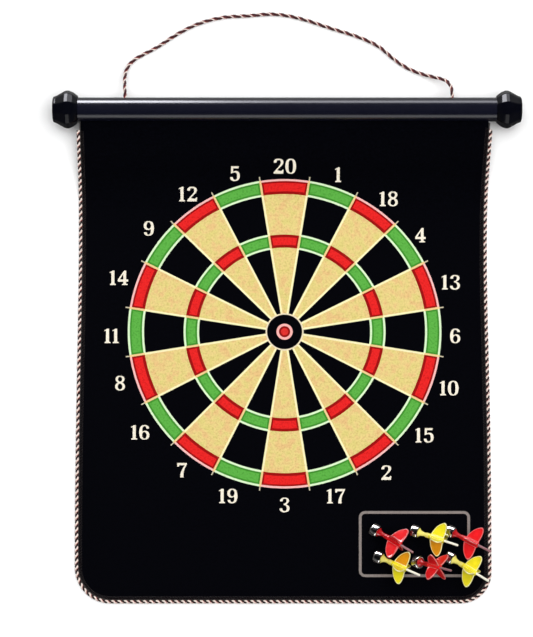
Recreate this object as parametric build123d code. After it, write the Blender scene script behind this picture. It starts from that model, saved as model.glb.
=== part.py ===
from build123d import *
import math
import os

# Roll-up magnetic dartboard with six darts, lying on its back on a table.
# +Z points out of the printed face, +Y points to the hanger tube and +X to the right. Millimetres.

# Layered sheet, measured from the underside
BACK_T = 0.4
CORE_T = 0.8
FRONT_T = 0.4
SHEET_T = BACK_T + CORE_T + FRONT_T
SHEET_BOTTOM_Y = -224.9
CORNER_R_LEFT = 29.0
CORNER_R_RIGHT = 25.0
# The sides are cut a little wavy and taper towards the tube: (x, y) from the corner up
LEFT_SIDE = [(-185.2, SHEET_BOTTOM_Y + CORNER_R_LEFT), (-184.0, -60.0), (-181.6, 90.0), (-182.6, 196.7)]
RIGHT_SIDE = [(178.5, SHEET_BOTTOM_Y + CORNER_R_RIGHT), (176.8, -40.0), (174.6, 115.0), (178.4, 196.7)]
NECK_LEFT_X = -169.7
NECK_RIGHT_X = 169.7

# Hanger tube and the sheet's S-bend up to its slot
TUBE_R = 10.5
TUBE_WALL = 1.5
TUBE_LEFT_X = -183.5
TUBE_LENGTH = 367.0
AXIS_Y = 208.2
SLOT_WIDTH = 2.8
BEND_START_Y = 117.9
SLOT_MOUTH_Y = 196.7
SHEET_END_Y = 205.9
BORE_R = TUBE_R - TUBE_WALL
TUBE_RIGHT_X = TUBE_LEFT_X + TUBE_LENGTH

# End knobs: ten flat facets round a ball shape, (distance from the tube's end, corner radius)
KNOB_FACETS = 10
KNOB_RINGS = [(0.0, 12.0), (4.2, 15.2), (8.2, 16.9), (11.0, 16.7), (15.2, 14.3), (19.0, 12.2), (22.0, 11.2)]
KNOB_R = max(radius for _, radius in KNOB_RINGS)
KNOB_FLAT_R = KNOB_R * math.cos(math.pi / KNOB_FACETS)
SPIGOT_R = BORE_R - 0.05
SPIGOT_LENGTH = 12.0
AXIS_Z = KNOB_FLAT_R

# Bead that keeps the sheet's top edge inside the tube
BEAD_Y = (201.5, 208.1)
BEAD_HALF_HEIGHT = 4.0

# Overlock thread round the sheet's free edges
OVERLOCK_REACH = 5.0
OVERLOCK_PROUD = 0.7
OVERLOCK_RAISE = 0.4
OVERLOCK_SUNK = 0.25

# Hanging cord and its knots
CORD_D = 3.3
CORD_HOLE_R = 2.2
CORD_LEFT_X = -142.3
CORD_RIGHT_X = 144.8
KNOT_R = 3.1
KNOT_Y = AXIS_Y + BORE_R - KNOT_R - 0.2
LYING = CORD_D / 2
CORD_ROUTE = [
    (CORD_LEFT_X, KNOT_Y + 2.0, AXIS_Z), (-142.3, 223.4, 16.0), (-143.0, 232.4, 12.0),
    (-142.8, 242.9, 5.0), (-138.3, 251.4, LYING), (-129.4, 257.2, LYING), (-114.7, 264.4, LYING),
    (-98.2, 275.9, LYING), (-78.7, 285.9, LYING), (-56.2, 291.7, LYING), (-34.2, 292.3, LYING),
    (-11.2, 294.7, LYING), (13.3, 290.1, LYING), (36.8, 281.9, LYING), (60.8, 274.9, LYING),
    (80.8, 266.4, LYING), (92.8, 255.4, LYING), (104.8, 246.7, LYING), (118.3, 241.1, 2.2),
    (129.8, 237.7, 5.5), (138.8, 235.3, 9.8), (143.6, 230.5, 13.8), (145.2, 223.3, 15.9),
    (CORD_RIGHT_X, KNOT_Y + 2.0, AXIS_Z),
]

# One dart, along its own axis from the nose face
CUP_R = 5.8
CUP_LENGTH = 7.6
CUP_NOSE_ROUND = 2.0
CUP_BACK_ROUND = 1.2
MAGNET_R = 3.7
MAGNET_T = 3.0
SOCKET_R = 2.5
SOCKET_FLOOR = 4.0
FLARE_R = 4.3
STEM_R = 1.8
STEM_START = 13.0
COLLAR_R = 2.3
SLEEVE_START = 17.2
SLEEVE_END = 31.6
SLEEVE_R = 2.4
CORE_PIN_R = 1.4
CORE_PIN_END = 27.0
TAIL_R = 1.0
TAIL_END = 45.0
TAIL_ROUND = 0.8
FIN_T = 0.9
FIN_ROOT_R = 1.9
LIFT_GAP = 0.15
# Each dart: nose x, nose y, heading in the sheet's plane, lean above it and roll, in degrees
DARTS = [
    (75.0, -160.3, -29.0, 27.0, 16.0),
    (109.3, -161.8, -16.8, 20.2, -8.0),
    (141.1, -161.7, -25.3, 23.5, 3.0),
    (77.3, -184.1, -22.5, 20.0, -12.0),
    (112.7, -189.3, -9.6, 48.0, 42.0),
    (140.7, -184.3, -30.2, 23.5, -11.0),
]

BEYOND = 400.0


def bend_geometry():
    """Radius and half angle of the two equal arcs that lift the sheet to the tube's slot."""
    rise = AXIS_Z - SHEET_T / 2
    run = SLOT_MOUTH_Y - BEND_START_Y
    radius = (rise**2 + run**2) / (4 * rise)
    return rise, radius, math.asin(run / (2 * radius))


def side_curve(height):
    """Side view of a line in the sheet, at this height above its underside, as (y, z) edges."""
    rise, radius, angle = bend_geometry()

    def lower(turn):
        return (
            BEND_START_Y + (radius - height) * math.sin(turn),
            radius - (radius - height) * math.cos(turn),
        )

    def upper(turn):
        return (
            SLOT_MOUTH_Y - (radius + height) * math.sin(turn),
            rise - radius + (radius + height) * math.cos(turn),
        )

    return [
        Line((SHEET_BOTTOM_Y - 5, height), lower(0)),
        ThreePointArc(lower(0), lower(angle / 2), lower(angle)),
        ThreePointArc(upper(angle), upper(angle / 2), upper(0)),
        Line(upper(0), (SHEET_END_Y, rise + height)),
    ]


def slab(low, high):
    """A layer of the sheet between two heights, much wider than the sheet."""
    under, over = side_curve(low), side_curve(high)
    ends = [Line(under[0] @ 0, over[0] @ 0), Line(under[-1] @ 1, over[-1] @ 1)]
    profile = Plane.YZ * make_face(under + over + ends)
    return extrude(profile, amount=BEYOND, both=True)


def outline(grow, top=SHEET_END_Y):
    """Column over the sheet's cut outline, grown outwards by this much at its free edges."""
    bottom = SHEET_BOTTOM_Y - grow
    left = [(x - grow, y) for x, y in LEFT_SIDE]
    right = [(x + grow, y) for x, y in RIGHT_SIDE]
    left_r, right_r = CORNER_R_LEFT + grow, CORNER_R_RIGHT + grow
    shoulder = left[-1][1]
    diagonal = math.sqrt(0.5)
    left_centre = (left[0][0] + left_r, left[0][1])
    right_centre = (right[0][0] - right_r, right[0][1])
    edges = [
        Spline(*left, tangents=[(0, 1), (-0.02, 1)]),
        Spline(*right, tangents=[(0, 1), (0.08, 1)]),
        ThreePointArc(
            left[0],
            (left_centre[0] - left_r * diagonal, left_centre[1] - left_r * diagonal),
            (left_centre[0], bottom),
        ),
        ThreePointArc(
            right[0],
            (right_centre[0] + right_r * diagonal, right_centre[1] - right_r * diagonal),
            (right_centre[0], bottom),
        ),
        Line((left_centre[0], bottom), (right_centre[0], bottom)),
    ]
    if top > shoulder:
        edges.append(Polyline(left[-1], (NECK_LEFT_X, shoulder), (NECK_LEFT_X, top)))
        edges.append(Polyline(right[-1], (NECK_RIGHT_X, shoulder), (NECK_RIGHT_X, top)))
        edges.append(Line((NECK_LEFT_X, top), (NECK_RIGHT_X, top)))
    else:
        edges.append(Line(left[-1], right[-1]))
    return Pos(0, 0, -5) * extrude(make_face(edges), amount=40)


def sheet_parts():
    """The three layers, face to face, and the thread that wraps their free edges."""
    shoulder = LEFT_SIDE[-1][1]
    cut = outline(0)
    rim = outline(0, shoulder) - outline(-OVERLOCK_REACH, shoulder)
    back = (slab(0, BACK_T) & cut) - (slab(0, OVERLOCK_SUNK) & rim)
    core = slab(BACK_T, BACK_T + CORE_T) & cut
    front = slab(BACK_T + CORE_T, SHEET_T) & cut
    band = outline(OVERLOCK_PROUD, shoulder) - outline(-OVERLOCK_REACH, shoulder)
    thread = slab(0, SHEET_T + OVERLOCK_RAISE) & band
    thread -= slab(OVERLOCK_SUNK, SHEET_T) & outline(0, shoulder)
    return {"back_fabric": back, "iron_core_sheet": core, "front_fabric": front, "edge_overlock": thread}


def along_x(solid, x):
    """Stands a solid built along +Z onto the tube's axis, starting at x and pointing to +X."""
    return Pos(x, AXIS_Y, AXIS_Z) * Rot(0, 90, 0) * solid


def rod_z(radius, length):
    """A rod from the origin up +Z."""
    return Cylinder(radius, length, align=(Align.CENTER, Align.CENTER, Align.MIN))


def hanger_tube():
    """Tube with a slot along the sheet's side and two cord holes opposite."""
    tube = along_x(rod_z(TUBE_R, TUBE_LENGTH) - rod_z(BORE_R, TUBE_LENGTH), TUBE_LEFT_X)
    slot = Pos(TUBE_LEFT_X + TUBE_LENGTH / 2, AXIS_Y - TUBE_R, AXIS_Z) * Box(TUBE_LENGTH + 2, TUBE_R, SLOT_WIDTH)
    tube -= slot
    for x in (CORD_LEFT_X, CORD_RIGHT_X):
        tube -= Pos(x, AXIS_Y, AXIS_Z) * Rot(-90, 0, 0) * rod_z(CORD_HOLE_R, TUBE_R + 2)
    return tube


def knob():
    """Faceted finial along +Z, with its spigot below the origin."""
    sections = []
    for height, radius in KNOB_RINGS:
        section = RegularPolygon(radius, KNOB_FACETS, rotation=180 / KNOB_FACETS)
        sections.append(Pos(0, 0, height) * section)
    ball = loft(sections, ruled=True)
    return ball + Pos(0, 0, -SPIGOT_LENGTH) * rod_z(SPIGOT_R, SPIGOT_LENGTH + 1)


def knobs():
    """The two end knobs, plugged into the tube's ends."""
    right = along_x(knob(), TUBE_RIGHT_X)
    left = Pos(TUBE_LEFT_X, AXIS_Y, AXIS_Z) * Rot(0, -90, 0) * knob()
    return {"left_knob": left, "right_knob": right}


def retaining_bead():
    """Strip with a groove that grips the sheet's top edge inside the tube."""
    length = NECK_RIGHT_X - NECK_LEFT_X
    middle_x = (NECK_RIGHT_X + NECK_LEFT_X) / 2
    middle_y = sum(BEAD_Y) / 2
    strip = Pos(middle_x, middle_y, AXIS_Z) * Box(length, BEAD_Y[1] - BEAD_Y[0], 2 * BEAD_HALF_HEIGHT)
    groove_y = (BEAD_Y[0] - 1 + SHEET_END_Y) / 2
    groove = Box(length + 2, SHEET_END_Y - BEAD_Y[0] + 1, SHEET_T)
    return strip - Pos(middle_x, groove_y, AXIS_Z) * groove


def corner_radii(route):
    """The largest arc that each corner's two runs allow."""
    points = [Vector(*point) for point in route]
    radii = []
    for before, at, after in zip(points, points[1:], points[2:]):
        arriving, leaving = at - before, after - at
        half_turn = math.radians(arriving.get_angle(leaving)) / 2
        radii.append(0.45 * min(arriving.length, leaving.length) / math.tan(half_turn))
    return radii


def hanging_cord():
    """Slack cord from one hole to the other, lying on the table between them."""
    radii = corner_radii(CORD_ROUTE)
    path = FilletPolyline(*CORD_ROUTE, radius=radii)
    cord = sweep(Plane(origin=path @ 0, z_dir=path % 0) * Circle(CORD_D / 2), path=path)
    expected = math.pi * CORD_D**2 / 4 * path.length
    print("cord length", round(path.length, 1), "volume share", round(cord.volume / expected, 4))
    print("cord radii", [round(radius, 1) for radius in radii])
    return cord


def knots():
    """Knots that stop the cord's ends inside the tube."""
    ends = {"left_knot": CORD_LEFT_X, "right_knot": CORD_RIGHT_X}
    return {name: Pos(x, KNOT_Y, AXIS_Z) * Sphere(KNOT_R) for name, x in ends.items()}


def turned(*edges):
    """Solid of revolution about the dart's axis, from a half profile of (along, radius) edges."""
    return revolve(make_face(edges), Axis.X)


def tip_cup():
    """Nickel-plated cup: a magnet socket in front and a barrel socket behind."""
    body = turned(Polyline((0, 0), (0, CUP_R), (CUP_LENGTH, CUP_R), (CUP_LENGTH, 0), (0, 0)))
    body = fillet(body.edges().filter_by(GeomType.CIRCLE).sort_by(Axis.X)[-1], CUP_BACK_ROUND)
    body = fillet(body.edges().filter_by(GeomType.CIRCLE).sort_by(Axis.X)[0], CUP_NOSE_ROUND)
    body -= Rot(0, 90, 0) * rod_z(MAGNET_R, MAGNET_T)
    return body - Pos(SOCKET_FLOOR, 0, 0) * Rot(0, 90, 0) * rod_z(SOCKET_R, CUP_LENGTH)


def barrel():
    """Flared behind the cup, a slim stem, and a pin that carries the flight."""
    return turned(
        Polyline((STEM_START, STEM_R), (SLEEVE_START - 2.4, COLLAR_R), (SLEEVE_START, COLLAR_R)),
        Polyline((SLEEVE_START, COLLAR_R), (SLEEVE_START, CORE_PIN_R), (CORE_PIN_END, CORE_PIN_R)),
        Polyline((CORE_PIN_END, CORE_PIN_R), (CORE_PIN_END, 0), (SOCKET_FLOOR, 0)),
        Polyline((SOCKET_FLOOR, 0), (SOCKET_FLOOR, SOCKET_R), (CUP_LENGTH, SOCKET_R), (CUP_LENGTH, FLARE_R)),
        ThreePointArc((CUP_LENGTH, FLARE_R), (CUP_LENGTH + 1.9, FLARE_R - 1.75), (STEM_START, STEM_R)),
    )


def fin():
    """One leaf-shaped fin, standing on the sleeve in the plane of the dart's axis."""
    root_front, root_back = (18.5, FIN_ROOT_R), (30.9, FIN_ROOT_R)
    tip_front, tip_back = (26.6, 14.8), (30.6, 13.6)
    leaf = make_face([
        ThreePointArc(root_front, (21.2, 9.2), tip_front),
        ThreePointArc(tip_front, (28.8, 15.4), tip_back),
        ThreePointArc(tip_back, (31.5, 8.5), root_back),
        Line(root_back, root_front),
    ])
    return extrude(leaf, amount=FIN_T / 2, both=True)


def flight():
    """Four fins on a sleeve that grips the barrel's pin and the tail pin."""
    sleeve = Pos(SLEEVE_START, 0, 0) * Rot(0, 90, 0) * rod_z(SLEEVE_R, SLEEVE_END - SLEEVE_START)
    for quarter in range(4):
        sleeve += Rot(90 * quarter, 0, 0) * fin()
    return sleeve - Rot(0, 90, 0) * rod_z(CORE_PIN_R, SLEEVE_END + 1)


def tail_pin():
    """Thin pin with a thicker root held in the sleeve and a rounded end."""
    pin = turned(
        Polyline((CORE_PIN_END, 0), (CORE_PIN_END, CORE_PIN_R), (SLEEVE_END, CORE_PIN_R), (SLEEVE_END, TAIL_R)),
        Polyline((SLEEVE_END, TAIL_R), (TAIL_END, TAIL_R), (TAIL_END, 0), (CORE_PIN_END, 0)),
    )
    return fillet(pin.edges().filter_by(GeomType.CIRCLE).sort_by(Axis.X)[-1], TAIL_ROUND)


def dart_plane(nose_x, nose_y, heading, lean, roll):
    """Plane at the dart's nose, x along its axis, with the cup's rim just above the sheet."""
    turn, tilt, spin = (math.radians(angle) for angle in (heading, lean, roll))
    flat = math.cos(tilt)
    axis = Vector(flat * math.cos(turn), flat * math.sin(turn), math.sin(tilt))
    up = Vector(-math.sin(tilt) * math.cos(turn), -math.sin(tilt) * math.sin(turn), flat)
    side = up.cross(axis)
    fin_up = up * math.cos(spin) + side * math.sin(spin)
    rim = (CUP_R - CUP_NOSE_ROUND) * math.cos(tilt) + CUP_NOSE_ROUND * (1 - math.sin(tilt))
    origin = Vector(nose_x, nose_y, SHEET_T + LIFT_GAP + rim)
    return Plane(origin=origin, x_dir=axis, z_dir=axis.cross(fin_up))


def darts():
    """Six darts lying in the printed tray, each one of five pieces."""
    magnet = Rot(0, 90, 0) * rod_z(MAGNET_R, MAGNET_T)
    pieces = {"tip_cup": tip_cup(), "magnet": magnet, "barrel": barrel(), "flight": flight(), "tail_pin": tail_pin()}
    placed = {}
    for number, place in enumerate(DARTS, start=1):
        location = dart_plane(*place).location
        for piece, solid in pieces.items():
            placed[f"dart_{number}_{piece}"] = location * solid
    return placed


def all_nodes():
    """Every node's name and solid."""
    nodes = {"hanger_tube": hanger_tube(), "retaining_bead": retaining_bead(), "hanging_cord": hanging_cord()}
    for group in (sheet_parts(), knobs(), knots(), darts()):
        nodes.update(group)
    return nodes


os.makedirs("parts", exist_ok=True)
for name, solid in all_nodes().items():
    export_step(solid, f"parts/{name}.step")
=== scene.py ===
import math

import bmesh
import bpy
import numpy as np
from mathutils import Matrix, Vector


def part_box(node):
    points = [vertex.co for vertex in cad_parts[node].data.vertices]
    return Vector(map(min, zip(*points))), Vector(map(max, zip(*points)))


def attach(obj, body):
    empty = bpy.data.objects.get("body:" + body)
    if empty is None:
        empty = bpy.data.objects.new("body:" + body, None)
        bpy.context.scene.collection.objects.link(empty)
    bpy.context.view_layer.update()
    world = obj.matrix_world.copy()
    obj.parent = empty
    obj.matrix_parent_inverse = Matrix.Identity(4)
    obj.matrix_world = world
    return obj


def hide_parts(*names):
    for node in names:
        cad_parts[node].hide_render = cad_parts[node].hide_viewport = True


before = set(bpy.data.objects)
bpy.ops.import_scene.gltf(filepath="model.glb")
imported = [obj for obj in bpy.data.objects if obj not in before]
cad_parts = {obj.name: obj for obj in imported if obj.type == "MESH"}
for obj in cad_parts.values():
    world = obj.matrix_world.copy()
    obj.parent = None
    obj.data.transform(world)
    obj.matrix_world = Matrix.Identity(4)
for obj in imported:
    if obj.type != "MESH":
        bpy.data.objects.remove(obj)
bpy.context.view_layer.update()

# A roll-up magnetic dartboard on its back, seen from straight above. Metres, in the CAD frame.
MM = 0.001
BOARD = "board"

# Camera
VIEW_CENTRE = (-18.1 * MM, 24.7 * MM)
VIEW_HEIGHT = 563.4 * MM
CAMERA_DISTANCE = 2.0
SENSOR = 36.0

# The sheet's side view: flat, then two equal arcs up to the tube's slot
SHEET_T = 1.6 * MM
FRONT_T = 0.4 * MM
BACK_T = 0.4 * MM
BEND_START_Y = 117.9 * MM
SLOT_MOUTH_Y = 196.7 * MM
SHEET_END_Y = 205.9 * MM
TUBE_LOW, TUBE_HIGH = (Vector(corner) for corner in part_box("hanger_tube"))
AXIS_Y = (TUBE_LOW.y + TUBE_HIGH.y) / 2
AXIS_Z = (TUBE_LOW.z + TUBE_HIGH.z) / 2
RISE = AXIS_Z - SHEET_T / 2
RUN = SLOT_MOUTH_Y - BEND_START_Y
BEND_R = (RISE**2 + RUN**2) / (4 * RISE)
BEND_SINE = RUN / (2 * BEND_R)


# ---- materials


def fill_ramp(ramp, stops):
    """Gives a colour ramp its stops, as (place, colour) with linear RGB colours."""
    elements = ramp.color_ramp.elements
    while len(elements) < len(stops):
        elements.new(0.5)
    for element, (place, colour) in zip(elements, stops):
        element.position = place
        element.color = (*colour, 1)


def add_node(tree, kind, **values):
    """A new node: each value sets or links the input of that name, or else the node's own setting."""
    made = tree.nodes.new(kind)
    for key, value in values.items():
        socket = key.replace("_", " ")
        if isinstance(value, bpy.types.NodeSocket):
            tree.links.new(value, made.inputs[socket])
        elif socket in made.inputs:
            made.inputs[socket].default_value = value
        else:
            setattr(made, key, value)
    return made


class Shader:
    """A material's node tree with one Principled shader, and short ways to add to it."""

    def __init__(self, name, colour, roughness, **sockets):
        self.material = bpy.data.materials.new(name)
        self.material.use_nodes = True
        self.tree = self.material.node_tree
        self.shader = self.tree.nodes["Principled BSDF"]
        self.shader.inputs["Base Color"].default_value = (*colour, 1)
        self.shader.inputs["Roughness"].default_value = roughness
        self.material.diffuse_color = (*colour, 1)
        for socket, value in sockets.items():
            self.shader.inputs[socket.replace("_", " ")].default_value = value
        self.coordinates = self.node("ShaderNodeTexCoord").outputs["Object"]

    def node(self, kind, **values):
        return add_node(self.tree, kind, **values)

    def link(self, source, socket):
        self.tree.links.new(source, self.shader.inputs[socket])

    def noise(self, size, detail=3, roughness=0.6):
        """Noise whose blobs are about this size, in metres; its height is an output from 0 to 1."""
        texture = self.node("ShaderNodeTexNoise", Scale=1 / size, Detail=detail, Roughness=roughness,
                            Vector=self.coordinates)
        return texture.outputs["Fac"]

    def ramp(self, factor, stops):
        """Colours by factor."""
        ramp = self.node("ShaderNodeValToRGB", Fac=factor)
        fill_ramp(ramp, stops)
        return ramp.outputs["Color"]

    def mottle(self, factor, colour, amount):
        """Base colour that varies about its mean by this share."""
        dark = [channel * (1 - amount) for channel in colour]
        light = [min(channel * (1 + amount), 1) for channel in colour]
        self.link(self.ramp(factor, [(0.3, dark), (0.7, light)]), "Base Color")

    def rough(self, factor, low, high):
        """Roughness that goes from low to high with the factor."""
        span = self.node("ShaderNodeMapRange", Value=factor, To_Min=low, To_Max=high)
        self.link(span.outputs["Result"], "Roughness")

    def bump(self, height, depth, strength=1.0):
        """Adds relief of about this depth in metres on top of what is there."""
        bump = self.node("ShaderNodeBump", Strength=strength, Distance=depth, Height=height)
        normal = self.shader.inputs["Normal"]
        if normal.is_linked:
            self.tree.links.new(normal.links[0].from_socket, bump.inputs["Normal"])
        self.link(bump.outputs["Normal"], "Normal")


LIGHT_LEVEL = 1.15


def srgb(red, green, blue):
    """Linear surface colour that shows as these 0 to 255 screen values where the light is full."""
    return tuple(
        ((c / 255 / 12.92) if c / 255 <= 0.04045 else ((c / 255 + 0.055) / 1.055) ** 2.4) / LIGHT_LEVEL
        for c in (red, green, blue)
    )


def flock(name, colour):
    """Short matt pile: fine fuzz and faint broad relief over a mottled colour."""
    made = Shader(name, colour, 0.95, Specular_IOR_Level=0.04)
    fuzz = made.noise(0.5 * MM, detail=4)
    made.mottle(made.noise(1.6 * MM, detail=5, roughness=0.75), colour, 0.7)
    made.bump(fuzz, 0.12 * MM, 0.6)
    made.bump(made.noise(5 * MM, detail=2), 0.1 * MM, 0.25)
    return made.material


def ink(name, colour, tint, spread=0.5, blotches=None):
    """Screen-printed ink on pile: grainy towards a second tint, with wide blotches between two casts."""
    made = Shader(name, colour, 0.7, Specular_IOR_Level=0.08)
    grain = made.noise(1.8 * MM, detail=5, roughness=0.8)
    stops = [(0.5 - spread / 2, tint), (0.5, colour), (0.5 + spread / 2, [min(1, c * 1.06) for c in colour])]
    colours = made.ramp(grain, stops)
    if blotches:
        cast_stops = [(0.36, blotches[0]), (0.5, (1, 1, 1)), (0.64, blotches[1])]
        casts = made.ramp(made.noise(7 * MM), cast_stops)
        mixed = made.node("ShaderNodeMixRGB", blend_type="MULTIPLY", Fac=1.0, Color1=colours, Color2=casts)
        colours = mixed.outputs["Color"]
    made.link(colours, "Base Color")
    made.bump(made.noise(0.45 * MM, detail=4), 0.08 * MM, 0.5)
    return made.material


def yarn_material(name, colour, tint):
    """Spun thread: fibres that run along it, with lighter and darker ones."""
    made = Shader(name, colour, 0.8, Specular_IOR_Level=0.25, Sheen_Weight=0.15, Sheen_Roughness=0.45)
    fibres = made.noise(0.35 * MM, detail=5, roughness=0.75)
    made.link(made.ramp(fibres, [(0.3, tint), (0.55, colour)]), "Base Color")
    made.bump(fibres, 0.08 * MM, 0.7)
    return made.material


def moulded(name, colour, roughness, coat=0.0, grain=0.06, **sockets):
    """Moulded plastic: faint orange peel, slightly uneven gloss and slightly uneven colour."""
    made = Shader(name, colour, roughness, Coat_Weight=coat, Coat_Roughness=0.08, **sockets)
    made.mottle(made.noise(6 * MM, detail=2), colour, 0.08)
    made.rough(made.noise(3 * MM, detail=5), roughness * 0.75, roughness * 1.35)
    made.bump(made.noise(1.4 * MM, detail=2), grain * MM, 0.25)
    return made.material


def metal(name, colour, roughness):
    """Bright plated metal with fine turned marks and small dulled patches."""
    made = Shader(name, colour, roughness, Metallic=1.0)
    marks = made.noise(0.5 * MM, detail=4, roughness=0.7)
    made.rough(made.noise(1.5 * MM, detail=3), roughness * 0.6, roughness * 1.9)
    made.mottle(made.noise(2.5 * MM), colour, 0.05)
    made.bump(marks, 0.01 * MM, 0.3)
    return made.material


def backing(name, colour):
    """Plain woven backing cloth."""
    made = Shader(name, colour, 0.9, Specular_IOR_Level=0.15)
    weave = made.node("ShaderNodeMath", operation="MULTIPLY")
    for index, way in enumerate("XY"):
        wave = made.node("ShaderNodeTexWave", Scale=1 / (1.1 * MM), Distortion=0.6, bands_direction=way,
                         Vector=made.coordinates)
        made.tree.links.new(wave.outputs["Fac"], weave.inputs[index])
    made.mottle(made.noise(3 * MM), colour, 0.3)
    made.bump(weave.outputs["Value"], 0.12 * MM, 0.6)
    return made.material


# Screen colours of each ink and of its grain, how wide the grain spreads, and the casts of its blotches
INKS = {
    "cream": ((237, 214, 140), (214, 184, 106), 0.3, ((1, 0.84, 0.92), (0.93, 1, 0.86))),
    "red": ((238, 35, 34), (202, 14, 16), 0.3),
    "red_rim": ((160, 8, 8), (136, 4, 6)),
    "green": ((95, 181, 72), (70, 152, 48), 0.3),
    "green_rim": ((66, 148, 46), (54, 132, 36)),
    "line": ((254, 246, 194), (246, 232, 164)),
    "line_ring": ((247, 212, 146), (234, 186, 118)),
    "line_green": ((226, 250, 208), (196, 236, 168)),
    "line_red": ((253, 196, 192), (246, 164, 158)),
    "tick": ((205, 196, 168), (168, 158, 134)),
    "pink": ((255, 186, 180), (240, 160, 150)),
    "ring_pale": ((240, 226, 196), (206, 190, 160)),
    "red_dark": ((150, 8, 10), (126, 4, 6)),
    "bull_core": ((226, 48, 44), (196, 28, 26)),
    "number": ((252, 244, 226), (226, 210, 178), 0.36),
    "tray": ((142, 132, 128), (112, 103, 100)),
}
# Screen colour, roughness and clear coat of each of the darts' plastics
DART_PLASTICS = {
    "dart_red": ((238, 14, 22), 0.2, 0.4),
    "dart_yellow": ((250, 236, 36), 0.2, 0.4),
    # The rims' pale colours are painted highlights along the fins' raised rounded edges
    "rim_red": ((230, 106, 106), 0.25, 0.4),
    "rim_yellow": ((255, 250, 176), 0.25, 0.4),
    # The yellow stem is paler than its fins as a painted highlight, stem and fins being one plastic; the red
    # stem is darker than its fins
    "stem_red": ((186, 14, 22), 0.2, 0.4),
    "stem_yellow": ((252, 240, 118), 0.2, 0.4),
    # Orange painted shade, with a painted reflection of a neighbouring red dart, for one fin of two yellow
    # darts
    "painted_shade_yellow": ((232, 156, 22), 0.2, 0.4),
    "pin_red": ((158, 108, 114), 0.35, 0.0),
    "pin_yellow": ((255, 252, 232), 0.35, 0.0),
}
MATERIALS = {
    "flock": flock("black_flock", (0.0007, 0.0008, 0.0019)),
    "back": backing("backing_cloth", (0.008, 0.008, 0.010)),
    "core": moulded("iron_rubber", (0.05, 0.045, 0.042), 0.7),
    "tube": moulded("tube_black", (0.0048, 0.0052, 0.0125), 0.2, grain=0.05),
    "knob": moulded("knob_black", (0.0020, 0.0022, 0.0045), 0.1, Specular_IOR_Level=0.17),
    "bead": moulded("bead_black", (0.03, 0.03, 0.032), 0.5),
    "yarn_dark": yarn_material("yarn_dark", (0.010, 0.003, 0.003), (0.024, 0.003, 0.003)),
    "yarn_maroon": yarn_material("yarn_maroon", (0.045, 0.008, 0.011), (0.085, 0.012, 0.015)),
    "yarn_pale": yarn_material("yarn_pale", srgb(255, 243, 234), srgb(246, 212, 198)),
    "yarn_red": yarn_material("yarn_red", srgb(176, 40, 34), srgb(120, 22, 22)),
    "thread": yarn_material("thread_maroon", (0.0045, 0.0011, 0.0014), (0.009, 0.0014, 0.0016)),
    "nickel": metal("nickel", (0.86, 0.85, 0.82), 0.12),
    "magnet": moulded("ferrite", (0.05, 0.05, 0.055), 0.45),
}
for name, (colour, tint, *grain) in INKS.items():
    MATERIALS[name] = ink(f"ink_{name}", srgb(*colour), srgb(*tint), *grain)
for name, (colour, roughness, coat) in DART_PLASTICS.items():
    MATERIALS[name] = moulded(name, srgb(*colour), roughness, coat)


# ---- mesh building


def add_piece(name, mesh, materials, body=BOARD, replaces=(), smooth=True):
    """Makes an object of the mesh, gives it its materials and hangs it on a body."""
    piece = bpy.data.objects.new(name, mesh)
    bpy.context.scene.collection.objects.link(piece)
    for material in materials:
        mesh.materials.append(MATERIALS[material])
    if smooth:
        mesh.polygons.foreach_set("use_smooth", [True] * len(mesh.polygons))
    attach(piece, body)
    if replaces:
        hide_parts(*replaces)
    return piece


def mesh_of(name, vertices, faces, material_index=None):
    mesh = bpy.data.meshes.new(name)
    mesh.from_pydata([tuple(v) for v in vertices], [], [tuple(f) for f in faces])
    if material_index is not None:
        mesh.polygons.foreach_set("material_index", material_index)
    mesh.validate()
    mesh.update()
    return mesh


def mesh_of_curve(curve):
    """The mesh that Blender makes of a curve, which is then removed."""
    holder = bpy.data.objects.new(curve.name, curve)
    bpy.context.scene.collection.objects.link(holder)
    bpy.context.view_layer.update()
    mesh = bpy.data.meshes.new_from_object(holder.evaluated_get(bpy.context.evaluated_depsgraph_get()))
    bpy.data.objects.remove(holder)
    bpy.data.curves.remove(curve)
    return mesh


def distances(points):
    """How far along the line each of its points is."""
    return np.concatenate(([0], np.cumsum(np.linalg.norm(np.diff(points, axis=0), axis=1))))


def directions(points):
    """Unit direction of the line at each of its points."""
    slopes = np.gradient(points, axis=0)
    return slopes / np.linalg.norm(slopes, axis=1)[:, None]


def evenly(line, step):
    """The line's points spaced evenly at about this step, and its length."""
    along = distances(line)
    places = np.linspace(0, along[-1], int(along[-1] / step) + 1)
    return np.column_stack([np.interp(places, along, values) for values in line.T]), along[-1]


def grid_faces(rows, columns, closed=False):
    """Quads of a grid whose points are stored row by row; closed joins the last column to the first."""
    faces = []
    for row in range(rows - 1):
        for column in range(columns if closed else columns - 1):
            a, b = row * columns + column, row * columns + (column + 1) % columns
            faces.append((a, b, b + columns, a + columns))
    return faces


def capped_faces(rows, columns):
    """Faces of a closed grid whose first and last rows each run to a point, the two stored after it."""
    faces = grid_faces(rows, columns, closed=True)
    first, last, end = rows * columns, rows * columns + 1, (rows - 1) * columns
    for column in range(columns):
        following = (column + 1) % columns
        faces += [(first, following, column), (last, end + column, end + following)]
    return faces


def lathe(profile, segments=40):
    """Closed solid of revolution about +X from (along, radius) points that start and end on the axis."""
    inner = profile[1:-1]
    turns = [2 * math.pi * step / segments for step in range(segments)]
    ring = [(math.cos(turn), math.sin(turn)) for turn in turns]
    vertices = [(along, radius * y, radius * z) for along, radius in inner for y, z in ring]
    vertices += [(profile[0][0], 0, 0), (profile[-1][0], 0, 0)]
    return vertices, capped_faces(len(inner), segments)


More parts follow.
